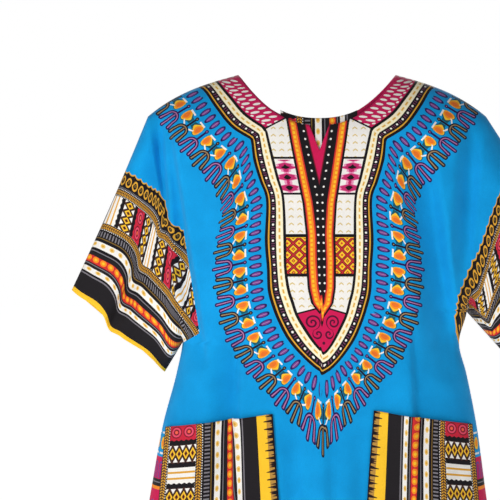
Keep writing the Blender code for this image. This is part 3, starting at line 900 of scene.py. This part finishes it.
def bib_print():
    """Striped edge bands, a leafy band round the neck, panels of blocks beside a centre strip."""
    cloth = Dyed("bib_print", WHITE)
    along, away = cloth.uv("round")
    along = abs(along)
    x, z = cloth.uv("across")
    x = abs(x)
    edging, _ = cloth.uv("ovals")
    centre = x - edging
    inward = away * -1.0

    # Panel: blocks one below another
    rows = cloth.bands(
        z,
        [
            (-46.0, WHITE),
            (-31.25, BLACK),
            (-30.8, YELLOW),
            (-25.25, BLACK),
            (-24.8, WHITE),
            (-18.75, BLACK),
            (-18.3, WHITE),
            (-13.15, BLACK),
            (-12.7, WHITE),
        ],
        -46.0,
        -4.0,
    )
    cloth.colour = rows

    # White blocks: rows of small pale chevrons
    chevron_x = x.beside(1.3, 0.5)
    chevron = (z + chevron_x * 0.7).wrapped(1.15)
    quiet = z.inside(-12.7, -5.0) | z.inside(-24.8, -18.75) | z.inside(-36.3, -31.25)
    cloth.coat(quiet & (abs(chevron) < 0.12) & (chevron_x < 0.38), ink(208, 186, 128))

    # Ikat block: pink diamonds with black hearts, on white
    ikat_x = x - (z * 0.18 + 7.75)
    ikat = z.wrapped(1.62, -15.9)
    shade = abs(ikat_x) * 0.50 + abs(ikat)
    in_ikat = z.inside(-18.3, -13.15)
    jag = (z * 11.0).sine() * 0.13
    cloth.coat(in_ikat & (shade + jag < 0.96), ink(222, 140, 176))
    cloth.coat(in_ikat & (shade + jag < 0.78), ink(186, 40, 100))
    cloth.coat(in_ikat & (shade + jag * 0.5 < 0.36), BLACK)

    # Lattice block: maroon and red diamond lines on yellow
    lattice_x = x.beside(1.75, 3.3)
    lattice_z = z.beside(1.8, -27.9)
    knot = lattice_x + lattice_z
    in_lattice = z.inside(-30.8, -25.25)
    cloth.coat(in_lattice & (abs(knot - 0.86) < 0.30), MAROON)
    cloth.coat(in_lattice & (abs(knot - 0.86) < 0.09), RED)
    cloth.coat(in_lattice & (knot > 1.48), MAROON)
    cloth.coat(in_lattice & (knot > 1.60), ORANGE)
    cloth.coat(in_lattice & (knot < 0.22), ink(200, 70, 40))

    # Heart at the foot: crimson with dark spirals
    heart = z + x * 0.28 + 35.9
    cloth.coat(heart < 0.15, BLACK)
    in_heart = heart < -0.12
    cloth.coat(in_heart, CRIMSON)
    for at_x, at_z, size in ((1.65, -38.3, 1.2), (0.9, -40.1, 0.8)):
        dx, dz = x - at_x, z - at_z
        reach = far(dx, dz)
        turn = dz.math("ARCTAN2", dx)
        coil = (reach - turn * 0.105).wrapped(0.66, 0.15)
        cloth.coat(in_heart & (abs(coil) < 0.14) & (reach < size), SPIRAL)
    cloth.coat(in_heart & (far(x, z + 41.5) < 0.24), SPIRAL)

    # Centre strip: dotted black, gold-orange edging, and a crimson wedge below the neck slit
    cloth.coat(centre < 0.95, BLACK)
    cloth.coat(centre < 0.60, RED)
    cloth.coat(abs(centre) < 0.40, ORANGE)
    cloth.coat((abs(centre - 0.08) < 0.17) & ((z * 9.0).sine() > -0.35), YELLOW)
    cloth.coat(centre < -0.40, RED)
    cloth.coat(centre < -0.62, BLACK)
    # The dots' columns keep 1.52 inside the edging's middle, and never nearer the axis than 0.4.
    dots = z.beside(DOT_PITCH)
    column = x - (x - centre - 1.52).most(0.40)
    cloth.coat((centre < -0.7) & (far(column, dots) < 0.16), WHITE)
    wedge = (z + 16.1) * 0.21 - x
    cloth.coat(wedge > -0.22, MAROON)
    cloth.coat(wedge > -0.06, CRIMSON)

    # Leafy band round the neck
    above = z + x * 0.52 + 3.94
    cloth.coat((inward > BANDS_WIDTH) & (above > -0.15), BLACK)
    leafy = (inward > BANDS_WIDTH) & (above > 0.15)
    cloth.coat(leafy, ink(190, 26, 84))
    lean = along + inward * 0.62
    seed = far(lean.wrapped(LEAF_PITCH) / 0.25, (inward - BANDS_WIDTH - 1.0) / 0.55)
    outer_seed = far(lean.wrapped(LEAF_PITCH, LEAF_PITCH / 2) / 0.23, (inward - BANDS_WIDTH - 2.2) / 0.48)
    fleck = far(lean.wrapped(LEAF_PITCH, LEAF_PITCH / 2) / 0.22, (inward - BANDS_WIDTH - 0.3) / 0.17)
    cloth.coat(leafy & ((seed < 1.0) | (outer_seed < 1.0) | (fleck < 1.0)), WHITE)

    # Bands along the bib's edge
    edge_bands = cloth.bands(
        inward,
        [(-1.0, BLACK), (0.44, GOLD), (0.66, BLACK), (1.62, CREAM), (2.66, BLACK)],
        -1.0,
        4.0,
    )
    cloth.coat(inward < BANDS_WIDTH, edge_bands)
    cloth.coat(far(along.beside(DOT_PITCH), inward - 1.17) < 0.17, WHITE)
    fleck = (abs(along.beside(DOT_PITCH) - 0.45) < 0.06) & (abs(inward - 1.17) < 0.25)
    cloth.coat(fleck, ink(112, 60, 92))
    cloth.coat((abs(inward - 2.14) < 0.17) & ((along * 6.0).sine() > -0.5), PALE_GOLD)
    cloth.coat((abs(inward - 2.14) < 0.07) & ((along * 6.0).sine() > 0.0), GOLD)

    # Beyond the bib's edge the ground shows.
    cloth.coat(away > 0.0, cloth.ground())
    return cloth.done()


BLOCK_PERIOD = 14.4
SCROLL_PITCH = 1.9


def border_print():
    """The selvedge border, by bands across it: scrolls, braids, a row of blocks, ticks, beaded stripes."""
    cloth = Dyed("border_print", BLUE)
    w, s = cloth.uv("border")
    edge, _ = cloth.uv("cut")
    wave = (s.beside(SCROLL_PITCH) * 1.65).sine() * 0.30
    cloth.colour = cloth.bands(
        w,
        [
            (-1.0, BLACK),
            (3.08, GOLD),
            (3.84, BLACK),
            (8.73, GOLD),
            (9.5, BLACK),
            (11.45, WHITE),
            (12.4, BLACK),
            (13.15, SOFT_BLACK),
            (13.58, RED),
            (14.55, SOFT_BLACK),
            (15.2, WHITE),
            (15.9, BLACK),
            (16.2, GREY),
            (16.38, SOFT_BLACK),
            (18.76, YELLOW),
            (20.3, ink(176, 132, 62)),
        ],
        -1.0,
        22.0,
    )
    # Scrolls: gold rings with a tail on black, scalloped gold edge
    ring_s = s.wrapped(SCROLL_PITCH, SCROLL_PITCH / 2)
    ring = far(ring_s, w - 1.55)
    turn = (w - 1.55).math("ARCTAN2", ring_s)
    cloth.coat(abs(ring - 0.62 - turn * 0.035) < 0.15, GOLD)
    cloth.coat((ring < 0.22) & (ring > 0.08), OLIVE)
    cloth.coat((w > 2.62) & (w < 2.78) & ((s * 16.0).sine() > -0.2), GREY)
    cloth.coat(abs(w - wave - 0.10) < 0.12, GOLD)

    # Braids: slanted strands
    for middle in (3.45, 9.12):
        band = abs(w - middle)
        strand = (s - band * 0.9).wrapped(0.46)
        cloth.coat((band < 0.42) & (abs(strand) < 0.11), BROWN)
        cloth.coat(band < 0.05, BROWN)
        cloth.coat((band > 0.46) & (band < 0.58) & ((s * 15.0).sine() > 0.1), WHITE)

    # Row of blocks between the braids
    in_blocks = w.inside(4.1, 8.62)
    cell = s.math("WRAP", BLOCK_PERIOD, 0.0)
    jag = (w * 7.5).sine() * 0.09
    place = cell + jag
    blocks = cloth.bands(
        place,
        [
            (0.0, WHITE),
            (2.6, BLACK),
            (3.4, BROWN),
            (6.4, BLACK),
            (7.2, ink(190, 34, 56)),
            (9.8, BLACK),
            (10.6, BROWN),
            (13.6, BLACK),
        ],
        0.0,
        BLOCK_PERIOD,
    )
    cloth.coat(in_blocks, blocks)
    gold_line = (abs(cell.beside(1.0, 0.8)) < 0.17) & cell.inside(0.45, 2.2)
    cloth.coat(in_blocks & gold_line, GOLD)
    # Diamonds on black, in each of the two brown blocks of a period
    row = cell.math("WRAP", BLOCK_PERIOD / 2, 0.0) - 4.9
    across = w.wrapped(1.14, 4.64)
    shape = abs(across) / 0.57 + abs(row) / 1.05
    in_row = in_blocks & (abs(row) < 1.5) & (cell.inside(3.4, 6.4) | cell.inside(10.6, 13.6))
    triangle = w.beside(1.14, 4.07) / 0.40 + (1.38 - abs(row)) / 0.8
    cloth.coat(in_row & (triangle < 1.0) & (abs(row) < 1.38), WHITE)
    for size, colour in ((1.14, BLACK), (0.94, YELLOW), (0.64, GOLD), (0.42, ink(70, 20, 20))):
        cloth.coat(in_row & (shape < size), colour)
    # Rings in the red block
    in_red = in_blocks & cell.inside(7.2, 9.8)
    loop = far(cell - 8.5, w.wrapped(2.2, 5.2))
    rings = ((0.98, MAROON), (0.80, ink(216, 70, 96)), (0.50, MAROON), (0.28, ink(226, 90, 70)))
    for size, colour in rings:
        cloth.coat(in_red & (loop < size), colour)

    # Ticks
    tick = s.beside(0.62, 0.1)
    cloth.coat(w.inside(9.95, 10.75) & (tick < 0.13), GREY)
    cloth.coat(w.inside(10.9, 11.05), OLIVE)
    # Dashed and beaded stripes
    for middle, half, phase in ((11.92, 0.42, 0.0), (15.55, 0.32, 0.9)):
        dash = far(s.beside(1.85, phase) / 0.50, (w - middle) / (half * 0.72))
        cloth.coat(dash < 1.0, ink(226, 190, 112))
        cloth.coat(dash < 0.5, GOLD)
    bead = far(s.beside(1.5) / 0.62, (w - 14.06) / 0.40)
    cloth.coat(w.inside(13.6, 14.5) & (bead < 1.0), ORANGE)
    cloth.coat(w.inside(13.6, 14.5) & (bead < 0.45), YELLOW)
    cloth.coat(abs(w - 12.95) < 0.07, GREY)
    cloth.coat(abs(w - 14.85) < 0.06, GREY)
    # Brush-stroke selvedge
    stroke = (s * 5.3).sine() + (s * 9.1).sine() * 0.7 + (s * 15.7).sine() * 0.5
    cloth.coat((w > 19.9) & ((stroke + (w - 20.9) * 1.5) > 0.0), BROWN)
    cloth.coat((w > 20.1) & ((stroke + (w - 21.2) * 1.5) > 0.0), BLACK)
    cloth.coat(w > 21.25, BLACK)

    # Ground beyond the scalloped edge, and inside the tuck
    cloth.coat(((w - wave) < 0.0) | (edge < 0.0), cloth.ground())
    return cloth.done()


def hem_print():
    """The hem band, by distance below its upper edge: drops, arches, lines, rings on crimson, lines."""
    cloth = Dyed("hem_print", BLUE)
    cloth.colour = cloth.ground()
    u, up = cloth.uv("hem")
    down = up * -1.0
    fields = cloth.bands(
        down,
        [
            (0.0, TEAL),
            (4.4, CRIMSON),
            (7.9, SOFT_BLACK),
            (8.3, GREY),
            (8.5, SOFT_BLACK),
            (9.0, ORANGE),
            (9.5, CRIMSON),
            (14.0, SOFT_BLACK),
            (14.5, WHITE),
            (15.3, SOFT_BLACK),
            (15.8, ORANGE),
            (16.5, SOFT_BLACK),
            (19.2, YELLOW),
        ],
        0.0,
        22.0,
    )
    cloth.coat(down > 4.4, fields)
    drop = far(u.wrapped(2.7) / 0.8, (down - 2.3) / 0.95)
    for size, colour in ((1.12, ink(24, 104, 110)), (1.0, YELLOW), (0.6, ORANGE)):
        cloth.coat(drop < size, colour)
    cloth.coat((abs(down - 0.7) < 0.14) & (u.beside(2.7, 1.35) > 0.5), WHITE)
    cloth.coat((abs(down - 3.9) < 0.16) & (u.beside(2.7, 1.35) > 0.4), WHITE)
    arch = far(u.wrapped(1.8), (down - 5.9).least(0.0) * 0.9)
    cloth.coat(down.inside(4.5, 7.8) & (abs(arch - 0.55) < 0.16), PURPLE)
    cloth.coat(down.inside(4.5, 7.8) & (arch < 0.2), ink(150, 30, 110))
    cloth.coat(down.inside(10.4, 13.2) & (far(u.wrapped(2.4), (down - 11.8)) < 0.62), PURPLE)
    cloth.coat(down.inside(10.4, 13.2) & (far(u.wrapped(2.4), (down - 11.8)) < 0.3), YELLOW)
    cloth.coat((abs(down - 14.9) < 0.3) & (u.beside(1.8) < 0.32), GOLD)
    cloth.coat((abs(down - 16.15) < 0.3) & (u.beside(1.4) < 0.3), RED)
    return cloth.done()


COTTONS = [plain_blue(), bib_print(), ring_print(), border_print(), hem_print()]


def make_panel(panel):
    """A whole panel of printed cotton, its faces given their prints."""
    surface = panel_surface(panel)
    kinds = panel_kinds(surface)
    across = surface["across"]
    # On the bib, the ovals' map carries how far the centre strip's orange edging stands from the axis.
    edging = np.interp(
        across[:, 1],
        [-60.0, -38.0, -36.5, -35.4, -33.0, -29.0, -24.6, -19.9, -16.7, -13.6, -10.5, -7.7, 0.0],
        [-2.0, -1.2, 0.0, 0.8, 1.25, 1.38, 1.33, 1.72, 2.3, 2.85, 3.4, 3.85, 5.2],
    )
    on_bib = surface["round"][:, 1] <= BIB_SPREAD
    third = np.where(on_bib, edging, surface["round"][:, 2])
    maps = {
        "round": surface["round"][:, :2],
        "ovals": np.stack([third, surface["round"][:, 1]], axis=1),
        "across": across,
        "border": surface["border"][:, :2],
        "cut": np.stack([surface["border"][:, 2], surface["border"][:, 1]], axis=1),
        "hem": surface["hem"],
    }
    piece = cloth_object(panel + "_cloth", surface["points"], surface["faces"], maps, COTTONS, kinds)
    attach(piece, "root")
    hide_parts(panel)
    return piece


front_cloth = make_panel("front")
back_cloth = make_panel("back")


# ---------------------------------------------------------------------------------------------------------
# Neck strip.
# A strip of the selvedge border set behind the neck slit, its stripes upright. It is caught in the neckline
# and shows above the printed edge and through the slit.
# ---------------------------------------------------------------------------------------------------------

INSERT_HALF_WIDTH = 0.058
INSERT_TOP = -0.071
INSERT_BOTTOM = -0.150
INSERT_CLEARANCE = 0.0025
INSERT_CELLS = (64, 40)
# Which distance across the border lies on the shirt's axis
INSERT_MIDDLE = 12.1


def front_patch(side, x, z, clearance):
    """Points of the front at X and Z (X outward from the axis), moved out along its normals."""
    sign = SLEEVES[side]["sign"]
    step = 0.002
    here = body_depth("front", side, sign, x, z)
    slope_x = (
        body_depth("front", side, sign, x + step, z) - body_depth("front", side, sign, x - step, z)
    ) / (2 * step)
    slope_z = (
        body_depth("front", side, sign, x, z + step) - body_depth("front", side, sign, x, z - step)
    ) / (2 * step)
    normal = np.stack([-slope_x, np.ones_like(x), -slope_z], axis=-1)
    normal /= np.linalg.norm(normal, axis=-1, keepdims=True)
    place = np.stack([x, here + SEAM_GAP / 2, z], axis=-1) + np.asarray(clearance)[..., None] * normal
    return place * (sign, -1, 1)


def make_insert():
    """A patch inside the front, its top edge along the neckline, its rows shared out down to its foot."""
    across, down_cells = INSERT_CELLS
    x = np.linspace(-INSERT_HALF_WIDTH, INSERT_HALF_WIDTH, across + 1)[None, :]
    down = np.linspace(0.0, 1.0, down_cells + 1)[:, None]
    top = INSERT_TOP * (1.0 - (np.abs(x) / NECK_HALF_WIDTH) ** NECK_POWER)
    z = top + (INSERT_BOTTOM - top) * down
    x = x + 0 * z
    behind = np.full(z.shape, -(INSERT_CLEARANCE + WALL))
    left = front_patch("left", -x, z, behind)
    right = front_patch("right", x, z, behind)
    points = np.where((x < 0)[..., None], left, right).reshape(-1, 3)
    faces = grid_faces(np.arange(z.size).reshape(z.shape), False)
    border = np.stack([x.ravel() * 100 + INSERT_MIDDLE, z.ravel() * -100], axis=1)
    maps = {"border": border, "cut": np.full(border.shape, FAR_INSIDE)}
    piece = cloth_object("neck_strip", points, faces, maps, [COTTONS[BORDER]], np.zeros(len(faces)))
    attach(piece, "root")
    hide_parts("neck_insert")
    return piece


neck_strip = make_insert()


# ---------------------------------------------------------------------------------------------------------
# Patch pockets.
# Two large patches cut from the selvedge border with its bands upright, the brushed yellow edge towards the
# centre. Each lies just clear of the front and stands a little open along its slanting top. No stitches.
# ---------------------------------------------------------------------------------------------------------

# The border's centimetres in a metre of pocket
POCKET_SCALE = 112
# How far along the border the opening lies
POCKET_PHASE = 7.4
POCKET_BOTTOM = -0.715
# Heights of the two ends of the opening, and X of the four corners
POCKETS = {
    "left": {
        "top": (-0.515, -0.541),
        "top_x": (0.070, 0.230),
        "bottom_x": (0.056, 0.246),
    },
    "right": {
        "top": (-0.510, -0.536),
        "top_x": (0.080, 0.232),
        "bottom_x": (0.066, 0.246),
    },
}
POCKET_CLEARANCE = 0.002
POCKET_CELLS = (72, 72)
# Distances across the border at a pocket's inner and outer side
POCKET_INNER_W = 21.5
POCKET_OUTER_W = 3.0
POCKET_GAPE = 0.005
GAPE_DEPTH = 0.05


def make_pocket(side):
    """A patch on the front: straight rulings between its two sides, standing a little open at the top."""
    pocket = POCKETS[side]
    columns, rows = POCKET_CELLS
    q = np.linspace(0.0, 1.0, columns + 1)[None, :]
    down = np.linspace(0.0, 1.0, rows + 1)[:, None]
    opening = pocket["top"][0] + (pocket["top"][1] - pocket["top"][0]) * q
    z = opening + (POCKET_BOTTOM - opening) * down
    inner = pocket["top_x"][0] + (pocket["bottom_x"][0] - pocket["top_x"][0]) * down
    outer = pocket["top_x"][1] + (pocket["bottom_x"][1] - pocket["top_x"][1]) * down
    x = inner + (outer - inner) * q
    sag = np.sin(math.pi * q) * np.clip(1 - (opening - z) / GAPE_DEPTH, 0.0, 1.0) ** 1.5
    points = front_patch(side, x, z, POCKET_CLEARANCE + WALL + POCKET_GAPE * sag)
    faces = grid_faces(np.arange(z.size).reshape(z.shape), SLEEVES[side]["sign"] < 0)
    w = POCKET_INNER_W + (POCKET_OUTER_W - POCKET_INNER_W) * q + 0 * z
    border = np.stack([w.ravel(), (opening - z).ravel() * POCKET_SCALE + POCKET_PHASE], axis=1)
    maps = {"border": border, "cut": np.full(border.shape, FAR_INSIDE)}
    name = f"pocket_{side}"
    piece = cloth_object(
        name + "_cloth", points.reshape(-1, 3), faces, maps, [COTTONS[BORDER]], np.zeros(len(faces))
    )
    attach(piece, "root")
    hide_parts(name)
    return piece


# Widest and longest lengths along each pocket's cloth, and its area
POCKET_CUTS = {"left": ((0.209, 0.201), 0.0382), "right": ((0.198, 0.206), 0.0367)}
for side, (flat, area) in POCKET_CUTS.items():
    make_pocket(side)


# ---------------------------------------------------------------------------------------------------------
# Floor, light and camera.
# A plain pale floor well below the hem in a white room. A small key light at the left, a broad weak fill at
# the right and a broad light behind. The camera looks level at the chest from the front.
# ---------------------------------------------------------------------------------------------------------

scene = bpy.context.scene
scene.view_settings.view_transform = "Standard"

world = bpy.data.worlds.new("studio")
world.use_nodes = True
scene.world = world
tree = world.node_tree
sky = tree.nodes["Background"]
sky.inputs["Color"].default_value = (1.0, 1.0, 1.0, 1.0)
lit = tree.nodes.new("ShaderNodeBackground")
lit.inputs["Color"].default_value = (0.96, 0.98, 1.0, 1.0)
lit.inputs["Strength"].default_value = 0.13
path = tree.nodes.new("ShaderNodeLightPath")
either = tree.nodes.new("ShaderNodeMixShader")
tree.links.new(path.outputs["Is Camera Ray"], either.inputs[0])
tree.links.new(lit.outputs[0], either.inputs[1])
tree.links.new(sky.outputs[0], either.inputs[2])
tree.links.new(either.outputs[0], tree.nodes["World Output"].inputs[0])

FLOOR_HEIGHT = -1.30
bpy.ops.mesh.primitive_circle_add(vertices=96, radius=30.0, fill_type="NGON", location=(0, 0, FLOOR_HEIGHT))
floor = bpy.context.object
floor.name = "floor"
floor_paint = bpy.data.materials.new("pale_floor")
floor_paint.use_nodes = True
floor_shader = floor_paint.node_tree.nodes["Principled BSDF"]
floor_shader.inputs["Base Color"].default_value = (0.80, 0.80, 0.80, 1.0)
floor_shader.inputs["Roughness"].default_value = 0.9
floor_shader.inputs["Emission Color"].default_value = (1.0, 1.0, 1.0, 1.0)
floor_shader.inputs["Emission Strength"].default_value = 0.90
floor.data.materials.append(floor_paint)

# Columns: name, place, size, power; all aimed at the chest
LIGHTS = [
    ("key", (-2.0, -2.4, 0.55), 0.9, 56.0),
    ("fill", (1.6, -2.6, 0.0), 2.0, 13.0),
    ("rear", (0.6, 3.0, 1.0), 1.8, 55.0),
]
AIM = Vector((0.0, 0.0, -0.35))
for name, place, size, power in LIGHTS:
    lamp = bpy.data.lights.new(name, "AREA")
    lamp.energy = power
    lamp.size = size
    holder = bpy.data.objects.new(name, lamp)
    scene.collection.objects.link(holder)
    holder.location = place
    holder.rotation_euler = (Vector(place) - AIM).to_track_quat("Z", "Y").to_euler()

CAMERA_DISTANCE = 2.8
CAMERA_PLACE = (-0.1038, -CAMERA_DISTANCE, -0.2713)
FRAME_WIDTH = 0.775
camera = bpy.data.cameras.new("camera")
camera.sensor_width = 36.0
camera.lens = 36.0 * CAMERA_DISTANCE / FRAME_WIDTH
viewer = bpy.data.objects.new("camera", camera)
viewer.location = CAMERA_PLACE
viewer.rotation_euler = (math.radians(90.0), 0.0, 0.0)
scene.collection.objects.link(viewer)
scene.camera = viewer
